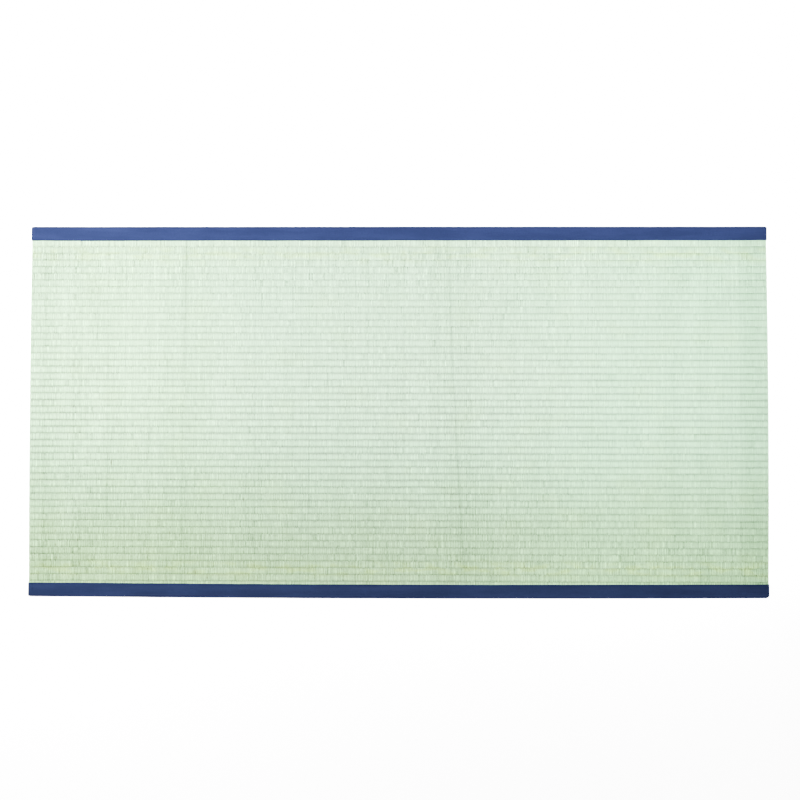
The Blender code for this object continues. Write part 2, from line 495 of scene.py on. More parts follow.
@dataclass(frozen=True)
class RushTones:
    """The colours of the rush, which its stems and the base of the weave share."""

    form: MatForm
    settled: Colour = (0.410, 0.640, 0.378)
    cool: Colour = (0.415, 0.641, 0.416)
    fresh: Colour = (0.378, 0.640, 0.400)
    lush: Colour = (0.380, 0.652, 0.384)
    straw: Colour = (0.455, 0.645, 0.235)
    blemish: Colour = (0.160, 0.140, 0.080)
    painted_groove_shade_tint: Colour = (0.120, 0.060, 0.120)
    stem_contrast: float = 0.56
    grain_contrast: float = 0.46
    fold_shade: float = 0.17
    fold_shade_core: float = 1.2 * MM
    pale_line_x: float = 0.4255
    blemish_width: float = 1.3 * MM
    blemishes: tuple[Blemish, ...] = (
        Blemish(x=-0.6848, y=-0.1237, length=14 * MM, dark=0.95),
        Blemish(x=-0.3678, y=-0.2114, length=9 * MM, dark=0.75),
        Blemish(x=-0.4816, y=-0.3855, length=7 * MM),
        Blemish(x=-0.4529, y=-0.3973, length=6 * MM),
        Blemish(x=-0.7594, y=-0.3648, length=7 * MM),
        Blemish(x=-0.7648, y=-0.3076, length=8 * MM),
        Blemish(x=-0.8174, y=-0.3197, length=6 * MM),
        Blemish(x=-0.8177, y=-0.2863, length=6 * MM),
        Blemish(x=-0.8147, y=-0.3507, length=6 * MM),
        Blemish(x=-0.5445, y=-0.2904, length=6 * MM),
        Blemish(x=0.1478, y=-0.2270, length=7 * MM),
        Blemish(x=0.3023, y=-0.3691, length=7 * MM),
    )

    def groove_distance(self, y: Value) -> Value:
        """Distance of each point from the nearest groove.

        Args:
            y: Its place across the mat.

        Returns:
            The distance in metres.
        """
        ribs = (self.form.back_groove_y - y) / self.form.rib_pitch
        share = (ribs + 0.5).apply("FRACT") - 0.5
        return share.apply("ABSOLUTE") * self.form.rib_pitch

    def bell(self, away: Value, width: float) -> Value:
        """1 where a distance is nothing, and less and less over a width."""
        return ((away / width) ** 2.0 * -1.0).apply("EXPONENT")

    def painted_fold_shade(self, x: Value, y: Value) -> Value | float:
        """How strongly the painted shade along the fold lines shows at each point.

        Args:
            x: Its place along the mat.
            y: Its place across it.

        Returns:
            The strength from 0 to 1.
        """
        across = y * (2 / self.form.width)
        total: Value | float = 0.0
        for crease in self.form.creases:
            slant, sag = crease.terms()
            line = across * slant + across * across * sag + crease.middle_x
            strength = across.ease(-0.2, 0.9) * (crease.back_mark - crease.front_mark) + crease.front_mark
            away = x - line
            # Painted shade along the fold line: a soft band and a narrow dark core.
            mark = self.bell(away, self.form.crease_width) * 0.75 + self.bell(away, self.fold_shade_core) * 0.7
            total = mark * strength + total
        return total

    def flecks(self, x: Value, y: Value) -> Value | float:
        """How dark the blemishes are at each point.

        Args:
            x: Its place along the mat.
            y: Its place across it.

        Returns:
            The darkness from 0 to 1.
        """
        total: Value | float = 0.0
        for fleck in self.blemishes:
            across, along = (x - fleck.x) / self.blemish_width, (y - fleck.y) / (fleck.length / 2)
            spot = ((across * across + along * along) * -1.0).apply("EXPONENT")
            total = spot * fleck.dark + total
        return total

    def colour(self, shader: Shader, tone: Value, place: bpy.types.NodeSocket) -> bpy.types.NodeSocket:
        """The rush's colour over the whole mat.

        Args:
            shader: The material being made.
            tone: A number from 0 to 1 for each stem.
            place: Object coordinates.

        Returns:
            The colour's socket.
        """
        x, y, _ = shader.parts(place)
        lit = shader.shade(self.leaf(shader, place, x, y), self.light(shader, tone, place, x, y))
        return shader.mix(self.flecks(x, y), lit, self.blemish)

    def leaf(self, shader: Shader, place: bpy.types.NodeSocket, x: Value, y: Value) -> bpy.types.NodeSocket:
        """The hue of the rush, which is warmer to the left and near the borders.

        Args:
            shader: The material being made.
            place: Object coordinates.
            x: Each point's place along the mat.
            y: Its place across it.

        Returns:
            The colour's socket.
        """
        drift = shader.noise(place, (3.0, 3.0, 3.0), 2.0) - 0.5
        leaf = shader.mix((x + drift * 0.5).ease(-0.75, -0.15), self.settled, self.cool)
        leaf = shader.mix((x - y * 0.3 + drift * 0.6).ease(0.05, 0.75), leaf, self.fresh)
        leaf = shader.mix(self.bell(y + 0.19, 0.13) * 0.25, leaf, self.lush)
        front = self.near_front(shader, place, y)
        off = y.apply("ABSOLUTE")
        rim = off.ease(0.345, 0.375) - off.ease(0.380, 0.400) * 0.8
        ripe = shader.noise(place, (22.0, 60.0, 3.0), 2.0).ease(0.46, 0.62)
        patch = shader.noise(place, (9.0, 14.0, 3.0), 3.0).ease(0.50, 0.70)
        return shader.mix(front * 0.26 + rim * (ripe * 0.32 + 0.06) + patch * 0.09, leaf, self.straw)

    def near_front(self, shader: Shader, place: bpy.types.NodeSocket, y: Value) -> Value:
        """How near the front border each point is, with a wavering limit.

        Args:
            shader: The material being made.
            place: Object coordinates.
            y: Each point's place across the mat.

        Returns:
            0 in the back half, 1 near the front border, and between on the way.
        """
        drift = shader.noise(place, (3.0, 3.0, 3.0), 2.0) - 0.5
        return (y + drift * 0.12).ease(-0.06, -0.39)

    def light(self, shader: Shader, tone: Value, place: bpy.types.NodeSocket, x: Value, y: Value) -> Value:
        """How light the rush is: its stems and their grain, painted shade along the fold lines, painted light
        and shade across the mat, and darker very ends.

        Args:
            shader: The material being made.
            tone: A number from 0 to 1 for each stem.
            place: Object coordinates.
            x: Each point's place along the mat.
            y: Its place across it.

        Returns:
            A factor for the colour, near 1.
        """
        front = self.near_front(shader, place, y)
        busy = shader.noise(place, (50.0, 62.5, 3.0), 1.0).ease(0.30, 0.70) + front * 0.35 + 0.6
        calmer = x.ease(0.20, 0.70) * (0.42 - y.ease(-0.26, -0.35) * 0.40)
        busy = busy * (y.ease(0.24, 0.36) * 0.45 + x.ease(-0.62, -0.80) * 0.2 - calmer + 1)
        grain = shader.noise(place, (640.0, 150.0, 3.0), 1.0) - 0.5
        band = shader.noise(place, (26.0, 1.5, 1.5), 2.0) - 0.5
        light = ((tone - 0.5) * self.stem_contrast + grain * self.grain_contrast) * busy + band * 0.045 + 1
        broken = shader.noise(place, (90.0, 60.0, 3.0), 2.0).ease(0.25, 0.60) * 0.4 + 0.75
        light = light * (1 - self.painted_fold_shade(x, y) * broken * self.fold_shade)
        # A narrow pale line across the mat near x = 0.43 m, stronger toward the back.
        pale_line = self.bell(x - self.pale_line_x, 8 * MM) * (y.ease(0.0, 0.35) * 0.05 + 0.03)
        # Painted light: lighter toward both ends of the mat.
        painted_light_to_ends = x.ease(0.15, 0.75) * 0.09 + x.ease(-0.15, -0.75) * 0.06
        # Darker toward the very ends of the mat.
        darker_ends = x.ease(0.775, 0.880) * 0.07 + x.ease(-0.840, -0.885) * 0.03
        shadow = front * (0.09 - x.ease(0.1, 0.7) * 0.045) - y.ease(-0.35, -0.395) * 0.05
        # Painted light along the middle of the mat and in patches right and left of the middle, more at the
        # right front, with painted shade near the right end a little in front of the middle.
        painted_light_and_shade = self.bell(y, 0.2) * (x.ease(-0.15, -0.75) * 0.045 + 0.065)
        painted_light_right_front = self.bell(x - 0.36, 0.19) * (y.ease(-0.29, -0.36) * 0.045 + 0.02)
        painted_light_patches = painted_light_right_front + self.bell(x + 0.31, 0.24) * 0.02
        painted_light_and_shade = painted_light_and_shade + painted_light_patches - x.ease(0.60, 0.85) * self.bell(y + 0.2, 0.13) * 0.035
        return light * (pale_line + painted_light_to_ends + painted_light_and_shade + 0.961) * (1 - shadow) * (1 - darker_ends)

    def groove_shade(self, shader: Shader, colour: Any, place: bpy.types.NodeSocket) -> bpy.types.NodeSocket:
        """Paints shade into a colour between the ribs: a broad soft painted shade with an uneven, narrower
        painted line in it, both tinted greyer.

        Args:
            shader: The material being made.
            colour: The colour before.
            place: Object coordinates.

        Returns:
            The colour's socket.
        """
        x, y, _ = shader.parts(place)
        away = self.groove_distance(y)
        deep = y.ease(0.38, -0.05) * 0.145 - y.ease(-0.15, -0.38) * 0.09 + 0.075
        deep = deep * (1 - x.ease(0.0, 0.5) * y.ease(0.15, -0.25) * 0.30)
        deep = deep * (self.bell(x - 0.2, 0.4) * 0.2 - x.ease(0.45, 0.80) * 0.13 + 1)
        strong = shader.noise(place, (12.0, 62.5, 3.0), 2.0).ease(0.30, 0.70) * 0.6 + 0.7
        broad = (1 - away.ease(0.0, 6.4 * MM)) * deep * strong
        uneven = shader.noise(place, (90.0, 70.0, 3.0), 2.0)
        line = (1 - away.ease(0.0, 2.9 * MM)) * uneven * 0.10
        # Painted shade in the grooves between the ribs, mixed toward a greyer tint.
        return shader.mix(1 - (1 - broad) * (1 - line), colour, self.painted_groove_shade_tint)


@dataclass(frozen=True)
class StemFinish:
    """The smooth, faintly ribbed skin of the rush stems."""

    tones: RushTones
    roughness: float = 0.52
    specular: float = 0.42

    def material(self) -> bpy.types.Material:
        """Makes the stems' material.

        Returns:
            The material.
        """
        shader = Shader("rush stems", self.roughness, self.specular)
        place = shader.place()
        tone = shader.attribute("stem_tone")
        colour = self.tones.colour(shader, tone, place)
        # Painted shade in the grooves between the ribs.
        colour = self.tones.groove_shade(shader, colour, place)
        skin = shader.noise(place, (5200.0, 60.0, 900.0), 1.0)
        shader.bump(skin, 0.05 * MM, 0.5)
        return shader.finish(colour, 0.44 + skin * 0.16)


@dataclass(frozen=True)
class WeaveFinish:
    """The base of the weave: bare stems side by side, which pass over every other rib."""

    tones: RushTones
    stem_pitch: float
    roughness: float = 0.62
    specular: float = 0.35

    def material(self) -> bpy.types.Material:
        """Makes the base's material.

        Returns:
            The material.
        """
        shader = Shader("woven rush", self.roughness, self.specular)
        place = shader.place()
        form = self.tones.form
        x, y, _ = shader.parts(place)
        row = ((form.back_groove_y - y) / form.rib_pitch).apply("FLOOR")
        steps = x / self.stem_pitch + row * 0.5
        round_top = (steps.apply("FRACT") * math.pi).apply("SINE")
        cell = shader.node("ShaderNodeCombineXYZ", {}, {0: steps.apply("FLOOR"), 1: row}).outputs[0]
        tone = shader.value("ShaderNodeTexWhiteNoise", {"noise_dimensions": "2D"}, {"Vector": cell})
        colour = self.tones.colour(shader, tone, place)
        # Painted shade in the grooves between the ribs.
        colour = self.tones.groove_shade(shader, colour, place)
        # Painted shade: each bare stem darker toward its sides than along its rounded top.
        colour = shader.shade(colour, round_top * 0.25 + 0.75)
        shader.bump(round_top, 0.35 * MM, 0.8)
        return shader.finish(colour)


@dataclass(frozen=True)
class ClothFinish:
    """Plain-woven navy cloth, which reads the piece's map in metres: U along the strip, V across it."""

    name: str
    navy: Colour
    painted_shade_to_right: float
    faded: float = 1.25
    deep: float = 0.6
    thread: float = 0.55 * MM
    roughness: float = 0.9
    specular: float = 0.03

    def material(self) -> bpy.types.Material:
        """Makes the cloth's material.

        Returns:
            The material.
        """
        shader = Shader(self.name, self.roughness, self.specular)
        place = shader.place("UV")
        u, v, _ = shader.parts(place)
        along = (u * (math.pi / self.thread)).apply("SINE").apply("ABSOLUTE")
        across = (v * (math.pi / self.thread)).apply("SINE").apply("ABSOLUTE")
        column = (u / self.thread).apply("FLOOR")
        row = (v / self.thread).apply("FLOOR")
        over = ((column + row) * 0.5).apply("FRACT") * 2.0
        weave = over * along + (1 - over) * across
        slub_u = shader.noise(place, (40.0, 1700.0, 1.0), 1.0)
        slub_v = shader.noise(place, (1700.0, 60.0, 1.0), 1.0)
        slub = over * slub_u + (1 - over) * slub_v
        fade = shader.noise(place, (7.0, 45.0, 1.0), 3.0).ease(0.35, 0.68)
        light = fade * (0.6 * (self.faded - 1)) + 1
        shaded = (1 - weave) * 0.55 + (1 - slub.ease(0.3, 0.6)) * 0.22
        light = light - (light - self.deep) * shaded
        shader.bump(weave + slub * 0.5, 0.16 * MM, 0.7)
        # Painted shade: the cloth darker toward the right end of the strip.
        colour = shader.shade(self.navy, light * (1 - u.ease(0.2, 1.8) * self.painted_shade_to_right))
        return shader.finish(colour, 0.86 + slub * 0.1)


@dataclass(frozen=True)
class ThreadFinish:
    """Twisted navy sewing thread."""

    navy: Colour = (0.032, 0.040, 0.094)
    twist: float = 0.35 * MM
    roughness: float = 0.6
    specular: float = 0.15

    def material(self) -> bpy.types.Material:
        """Makes the thread's material.

        Returns:
            The material.
        """
        shader = Shader("sewing thread", self.roughness, self.specular)
        place = shader.place()
        x, y, _ = shader.parts(place)
        ply = ((x + y * 2.0) * (math.pi / self.twist)).apply("SINE").apply("ABSOLUTE")
        shader.bump(ply, 0.08 * MM, 0.8)
        # Painted shade in the grooves between the plies.
        return shader.finish(shader.shade(self.navy, 0.7 + ply * 0.3))


@dataclass(frozen=True)
class FloorFinish:
    """A plain pale floor."""

    pale: Colour = (0.93, 0.93, 0.93)
    roughness: float = 0.9
    glow: float = 2.0

    def material(self) -> bpy.types.Material:
        """Makes the floor's material, which glows a little as a lit table does.

        Returns:
            The material.
        """
        shader = Shader("pale floor", self.roughness, 0.1)
        shader.surface.inputs["Emission Color"].default_value = (1.0, 1.0, 1.0, 1.0)
        shader.surface.inputs["Emission Strength"].default_value = self.glow
        return shader.finish(self.pale)


def clear_selection() -> None:
    """Leaves nothing selected, so that an operator reaches only what is made next."""
    bpy.ops.object.select_all(action="DESELECT")


def apply_modifiers(thing: bpy.types.Object) -> None:
    """Applies all the modifiers of a piece, in their order."""
    bpy.context.view_layer.objects.active = thing
    for modifier in list(thing.modifiers):
        bpy.ops.object.modifier_apply(modifier=modifier.name)


def corners(thing: bpy.types.Object) -> np.ndarray:
    """Reads the coordinates of a piece's points.

    Args:
        thing: The piece.

    Returns:
        The coordinates, one row for each point.
    """
    data = np.empty(len(thing.data.vertices) * 3, np.float32)
    thing.data.vertices.foreach_get("co", data)
    return data.reshape(-1, 3).astype(np.float64)


def set_corners(thing: bpy.types.Object, points: np.ndarray) -> None:
    """Moves a piece's points.

    Args:
        thing: The piece.
        points: New coordinates in the order of its points.
    """
    thing.data.vertices.foreach_set("co", points.reshape(-1).astype(np.float32))
    thing.data.update()


def set_number(thing: bpy.types.Object, name: str, values: np.ndarray) -> None:
    """Stores a number with each point of a piece.

    Args:
        thing: The piece.
        name: The name by which a material reads it.
        values: The number for each point.
    """
    made = thing.data.attributes.new(name, "FLOAT", "POINT")
    made.data.foreach_set("value", values.reshape(-1).astype(np.float32))


def tapered_bar(name: str, sides: int, length: float, shoulder: float, axis: int) -> bpy.types.Object:
    """Models a short bar round the origin, drawn out to a point at both ends.

    Args:
        name: The piece's name.
        sides: How many sides it has.
        length: Distance between its shoulders, where it begins to taper.
        shoulder: The shoulders' share of the way from its middle to its points.
        axis: The axis that it lies along, 0 for X and 1 for Y.

    Returns:
        The piece, with a radius of 1.
    """
    turned = (0, math.pi / 2, 0) if axis == 0 else (math.pi / 2, 0, 0)
    clear_selection()
    bpy.ops.mesh.primitive_cylinder_add(
        vertices=sides, radius=1.0, depth=length, end_fill_type="TRIFAN", rotation=turned
    )
    thing = bpy.context.object
    thing.name = name
    bpy.ops.object.transform_apply(location=True, rotation=True, scale=True)
    across = [other for other in range(3) if other != axis]
    stretch = [1.0, 1.0, 1.0]
    stretch[axis] = 1.0 / shoulder
    bpy.ops.object.mode_set(mode="EDIT")
    bpy.ops.mesh.select_mode(type="VERT")
    bpy.ops.mesh.select_all(action="DESELECT")
    bpy.ops.object.mode_set(mode="OBJECT")
    for vertex in thing.data.vertices:
        vertex.select = math.hypot(*[vertex.co[other] for other in across]) < 0.1
    bpy.ops.object.mode_set(mode="EDIT")
    bpy.ops.transform.resize(value=stretch)
    bpy.ops.object.mode_set(mode="OBJECT")
    return thing


def repeated(thing: bpy.types.Object, columns: int, rows: int, step: float = 4.0) -> np.ndarray:
    """Copies a piece in columns and rows, as one mesh.

    Args:
        thing: The piece, which is smaller than a step.
        columns: How many copies there are along X.
        rows: How many along Y.
        step: Distance between them.

    Returns:
        The points of each copy round its own middle, shaped (rows, columns, points, 3).
    """
    points_each = len(thing.data.vertices)
    for count, offset in ((columns, (step, 0, 0)), (rows, (0, step, 0))):
        made = thing.modifiers.new("row", "ARRAY")
        made.count = count
        made.use_relative_offset = False
        made.use_constant_offset = True
        made.constant_offset_displace = offset
    apply_modifiers(thing)
    local = corners(thing).reshape(rows, columns, points_each, 3)
    local[..., 0] -= (np.arange(columns) * step)[None, :, None]
    local[..., 1] -= (np.arange(rows) * step)[:, None, None]
    return local


def flat_grid(name: str, columns: int, rows: int, slab: bool) -> bpy.types.Object:
    """Adds a flat grid with sides of 2 m round the origin.

    Args:
        name: The piece's name.
        columns: Lines of points along X.
        rows: Lines of points along Y.
        slab: Whether it is extruded down by 1 m to a closed slab.

    Returns:
        The piece.
    """
    clear_selection()
    bpy.ops.mesh.primitive_grid_add(x_subdivisions=columns - 1, y_subdivisions=rows - 1, size=2.0)
    thing = bpy.context.object
    thing.name = name
    if slab:
        bpy.ops.object.mode_set(mode="EDIT")
        bpy.ops.mesh.select_all(action="SELECT")
        bpy.ops.mesh.extrude_region_move(TRANSFORM_OT_translate={"value": (0, 0, -1)})
        bpy.ops.mesh.select_all(action="SELECT")
        bpy.ops.mesh.normals_make_consistent(inside=False)
        bpy.ops.object.mode_set(mode="OBJECT")
    return thing


def grid_places(points: np.ndarray, columns: int, rows: int) -> tuple[np.ndarray, np.ndarray]:
    """Finds the column and the row of each point of a flat grid.

    Args:
        points: The points, in a grid with sides of 2 m.
        columns: Lines of points along X.
        rows: Lines of points along Y.

    Returns:
        The columns, counted from the left, and the rows, counted from the back.
    """
    column = np.rint((points[:, 0] + 1) / 2 * (columns - 1)).astype(int)
    row = np.rint((1 - points[:, 1]) / 2 * (rows - 1)).astype(int)
    return column, row


def dress(thing: bpy.types.Object, material: bpy.types.Material) -> None:
    """Gives a finished piece its material and its body, and shades it smooth.

    Args:
        thing: The piece.
        material: Its material.
    """
    thing.data.materials.clear()
    thing.data.materials.append(material)
    thing.data.shade_smooth()
    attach(thing, "root")
    LOG.info("%s: %d faces", thing.name, len(thing.data.polygons))


@dataclass
class RushSheet:
    """The base of the weave: the whole sheet, with its ribs, hems and fold lines."""

    form: MatForm
    stem_depth: float = 0.5 * MM
    groove_depth: float = 0.30 * MM
    under_groove: float = 0.45 * MM
    groove_width: float = 1.9 * MM
    rib_lines: tuple[float, ...] = (0.0, 1.7 * MM, 3.8 * MM, 8.0 * MM, 12.2 * MM, 14.3 * MM)
    flat_step: float = 45 * MM
    crease_offsets: tuple[float, ...] = (105.0, 78.0, 50.0, 25.0, 14.0, 6.0, 2.5)
    fold_steps: int = 8
    hem_lines: tuple[float, ...] = (0.0, 15 * MM, 30 * MM)
    slope_lines: tuple[float, ...] = (30 * MM, 42 * MM, 54 * MM, 66 * MM, 78 * MM, 90 * MM, 100 * MM)
    bare_from: float = math.radians(150)

    def rows(self) -> np.ndarray:
        """Lists the lines along the sheet, from the back to the front.

        Returns:
            Their Y. The outermost two are moved later.
        """
        form = self.form
        pocket = [form.border_inner + 0.022, form.border_inner + 0.008]
        border = [form.border_inner, form.border_inner - 4 * MM, form.back_groove_y + 8 * MM]
        back = [*pocket, *border, form.back_groove_y + 3.8 * MM, form.back_groove_y + 1.7 * MM]
        ribs = [
            form.back_groove_y - rib * form.rib_pitch - offset
            for rib in range(form.rib_count)
            for offset in self.rib_lines
        ]
        last = form.front_groove_y
        front = [last, last - 1.7 * MM, last - 3.8 * MM, -form.border_inner - 1 * MM]
        return np.array([*back, *ribs, *front, *[-y for y in reversed(pocket)]])

    def flat_stations(self) -> list[tuple[float, float]]:
        """The lines across the open part of the sheet.

        Returns:
            For each line, the share of the fold lines' slant that it follows and its X on the middle line.
        """
        form = self.form
        foot = form.half - form.hem - form.slope
        marks: list[float] = []
        for crease in form.creases:
            marks.append(crease.middle_x)
            for offset in self.crease_offsets:
                marks += [crease.middle_x - offset * MM, crease.middle_x + offset * MM]
        spare = np.arange(-foot + self.flat_step, foot - self.flat_step / 2, self.flat_step)
        reach = max(self.crease_offsets) * MM
        for x in spare:
            if all(abs(x - crease.middle_x) > reach + self.flat_step / 3 for crease in form.creases):
                marks.append(float(x))
        return sorted(marks)

    def slant(self, x: np.ndarray, y: np.ndarray) -> np.ndarray:
        """How far a line across the open sheet leans with the nearest fold line.

        Args:
            x: Places along the mat.
            y: Places across it.

        Returns:
            The distance along the mat at each place.
        """
        form = self.form
        lean = np.zeros(np.broadcast(x, y).shape)
        reach = max(self.crease_offsets) * MM
        for crease in form.creases:
            near = 1 - smooth_step((np.abs(x - crease.middle_x) - reach) / (2 * reach))
            lean = lean + near * (form.crease_x(crease, y) - crease.middle_x)
        return lean

    def rib_relief(self, y: np.ndarray) -> np.ndarray:
        """How deep the grooves between the ribs are.

        Args:
            y: Places across the mat.

        Returns:
            1 in the middle of a groove, less and less beside it.
        """
        form = self.form
        share = (form.back_groove_y - y) / form.rib_pitch
        away = np.abs(share - np.rint(share)) * form.rib_pitch
        known = (np.rint(share) >= 0) & (np.rint(share) <= form.rib_count)
        return np.where(known, np.exp(-((away / self.groove_width) ** 2)), 0.0)

    def lines(self) -> list[tuple[float, float, float, float, bool]]:
        """Describes the lines across the whole sheet, from the left hem's edge to the right one's.

        Returns:
            For each line its sign, the turn and the way back that MatForm.place takes, its distance from
            the middle, and whether it lies in the open part of the sheet.
        """
        half = self.form.half
        ends = [(math.pi, back, half) for back in reversed(self.hem_lines)]
        shares = [1 - step / self.fold_steps for step in range(1, self.fold_steps + 1)]
        ends += [(math.pi * share, 0.0, half) for share in shares]
        ends += [(0.0, 0.0, half - inset) for inset in self.slope_lines]
        lines = [(-1.0, *line, False) for line in ends]
        lines += [(math.copysign(1.0, x), 0.0, 0.0, abs(x), True) for x in self.flat_stations()]
        return lines + [(1.0, *line, False) for line in reversed(ends)]

    def build(self) -> bpy.types.Object:
        """Makes the sheet: a closed slab whose points are put in place along the mat's form.

        Returns:
            The piece.
        """
        form = self.form
        lines = self.lines()
        rows = self.rows()
        thing = flat_grid("rush_weave", len(lines), len(rows), slab=True)
        flat_points = corners(thing)
        column, row = grid_places(flat_points, len(lines), len(rows))
        outer = flat_points[:, 2] > -0.5
        sign, turn, back, far, is_open = (np.array(values)[column] for values in zip(*lines))
        x_flat = sign * far
        y = self.tuck_edges(row, len(rows), x_flat, rows[row])
        x_flat = x_flat + np.where(is_open, self.slant(x_flat, y), 0.0)
        sign = np.where(is_open, np.sign(x_flat), sign)
        far = np.where(is_open, np.abs(x_flat), far)
        relief = self.rib_relief(y)
        open_share = 1 - form.under_border(y)
        bare = smooth_step((turn - self.bare_from) / (math.pi - self.bare_from))
        top_depth = self.stem_depth * (1 - bare) + relief * self.groove_depth
        top_depth = top_depth + form.crease_dip_at(x_flat, y) - form.wander(x_flat, y)
        top_depth = np.where(turn > 3.0, relief * self.under_groove, top_depth)
        under_depth = form.thickness(y) - relief * self.under_groove * open_share * (turn == 0)
        depth = np.where(outer, top_depth, under_depth)
        set_corners(thing, form.place(sign, far, turn, back, y, depth))
        return thing

    def tuck_edges(self, row: np.ndarray, count: int, x: np.ndarray, y: np.ndarray) -> np.ndarray:
        """Y of each point, with the two outermost lines moved to the inside of the borders' folds.

        Args:
            row: Each point's line, counted from the back.
            count: How many lines there are.
            x: Each point's place along the mat.
            y: Its place across it.

        Returns:
            The new places across the mat.
        """
        form = self.form
        for side, outermost in ((Side.BACK, 0), (Side.FRONT, count - 1)):
            drawn_in = form.border_height(x) / 2 + form.fit_gap + form.corner(side, x)
            edge = form.edge_y(side, x) - side.value * drawn_in
            y = np.where(row == outermost, edge, y)
        return y

    def dress(self, thing: bpy.types.Object, finish: WeaveFinish, laid_on_it: list[bpy.types.Object]) -> None:
        """Finishes the sheet and hides the imported rush_sheet part.

        Args:
            thing: The sheet.
            finish: Its finish.
            laid_on_it: The stems that belong to it; not used.
        """
        dress(thing, finish.material())
        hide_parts("rush_sheet")


@dataclass
class RushStems:
    """The stretches of stem that show: each passes over one rib and dives into the grooves beside it."""

    form: MatForm
    pitch: float = 1.4 * MM
    stem_width: float = 1.6 * MM
    stem_height: float = 0.6 * MM
    tip_depth: float = 1.0 * MM
    overlap: float = 1.7 * MM
    shoulder: float = 0.55
    bar_width: float = 1.7320508
    width_spread: float = 0.055
    sunk_spread: float = 0.05 * MM
    sway: float = 0.06 * MM
    own_sway: float = 0.03 * MM
    yaw: float = 0.010
    border_reach: float = 3 * MM
    last_turn: float = math.radians(165)
    bands: int = 4
    seed: int = 4
    shared_tone: float = 0.12
    own_tone: float = 0.12

    @property
    def reach(self) -> float:
        """Distance along the sheet from its middle to the last stem, round the fold at its end."""
        form = self.form
        radius = float(form.fold_radius(np.array(0.0)))
        return form.half - radius + radius * self.last_turn

    def row_spans(self) -> list[tuple[float, float]]:
        """Lists the rows of stems, from the back border to the front one.

        Returns:
            The back and the front limit of each.
        """
        form = self.form
        grooves = [form.back_groove_y - rib * form.rib_pitch for rib in range(form.rib_count + 1)]
        front_limit = -form.border_inner - form.front_bow - self.border_reach
        spans = [(form.border_inner + self.border_reach, grooves[0] - self.overlap)]
        spans += [(back + self.overlap, front - self.overlap) for back, front in zip(grooves, grooves[1:])]
        spans.append((grooves[-1] + self.overlap, front_limit))
        return spans

    def build(self) -> list[bpy.types.Object]:
        """Makes all the stems, in bands from the back to the front.

        Returns:
            One piece for each band.
        """
        random = np.random.default_rng(self.seed)
        spans = self.row_spans()
        per_row = int(2 * self.reach / self.pitch)
        lots = random.normal(0.0, 1.0, (2, per_row))
        sway = random.normal(0.0, self.sway, (2, per_row))
        rows_each = math.ceil(len(spans) / self.bands)
        made = []
        for first in range(0, len(spans), rows_each):
            name = f"rush_stems_{len(made) + 1}"
            made.append(self.build_band(name, first, spans[first : first + rows_each], lots, sway, random))
        return made

    def build_band(
        self,
        name: str,
        first: int,
        spans: list[tuple[float, float]],
        lots: np.ndarray,
        sway: np.ndarray,
        random: np.random.Generator,
    ) -> bpy.types.Object:
        """Makes one band of rows.

        Args:
            name: The piece's name.
            first: The number of its first row.
            spans: The limits of its rows.
            lots: A tone for each stem, for even and for odd rows.
            sway: How far each stem lies off its place, for even and for odd rows.
            random: Source of what differs from stretch to stretch.

        Returns:
            The piece.
        """
        per_row = lots.shape[1]
        thing = tapered_bar(name, sides=3, length=2.0, shoulder=self.shoulder, axis=1)
        local = repeated(thing, per_row, len(spans))
        parity = (first + np.arange(len(spans))) % 2
        back, front = np.array(spans).T[:, :, None, None]
        cells = (len(spans), per_row, 1)
        width = self.stem_width * np.clip(random.normal(1.0, self.width_spread, cells), 0.85, 1.15)
        sunk = np.abs(random.normal(0.0, self.sunk_spread, cells))
        off = sway[parity][:, :, None] + random.normal(0.0, self.own_sway, cells)
        yaw = random.normal(0.0, self.yaw, cells)
        start = -self.reach + self.pitch * (0.25 + 0.5 * parity)[:, None, None]
        centre = start + (np.arange(per_row) * self.pitch)[None, :, None] + off
        half_span = (back - front) / 2
        middle = (back + front) / 2
        y = middle + local[..., 1] * self.shoulder * half_span
        u = centre + local[..., 0] * width / self.bar_width + yaw * (y - middle)
        tip = np.abs(local[..., 1]) > 1.2
        below = (1.0 - local[..., 2]) / 1.5 * self.stem_height
        depth = sunk + np.where(tip, self.tip_depth, below)
        x_flat = np.clip(u, -self.form.half, self.form.half)
        depth = depth + self.form.crease_dip_at(x_flat, y) - self.form.wander(x_flat, y)
        radius = self.form.fold_radius(y)
        turn = np.maximum(np.abs(u) - (self.form.half - radius), 0.0) / radius
        placed = self.form.place(np.sign(u), np.abs(u), turn, np.zeros_like(u), y, depth)
        set_corners(thing, placed)
        set_number(thing, "stem_tone", np.broadcast_to(self.tones(parity, lots, random), local.shape[:3]))
        return thing

    def tones(self, parity: np.ndarray, lots: np.ndarray, random: np.random.Generator) -> np.ndarray:
        """A tone from 0, dark, to 1, pale, for each stretch of stem.

        Args:
            parity: 0 or 1 for each row.
            lots: A tone for each stem, for even and for odd rows.
            random: Source of each stretch's own tone.

        Returns:
            The tones, one row of the mat after another.
        """
        own = random.normal(0.0, self.own_tone, (len(parity), lots.shape[1], 1))
        return np.clip(0.5 + self.shared_tone * lots[parity][:, :, None] + own, 0.0, 1.0)

    def dress(self, bands: list[bpy.types.Object], finish: StemFinish) -> None:
        """Finishes the bands of stems, which share one material."""
        material = finish.material()
        for thing in bands:
            dress(thing, material)


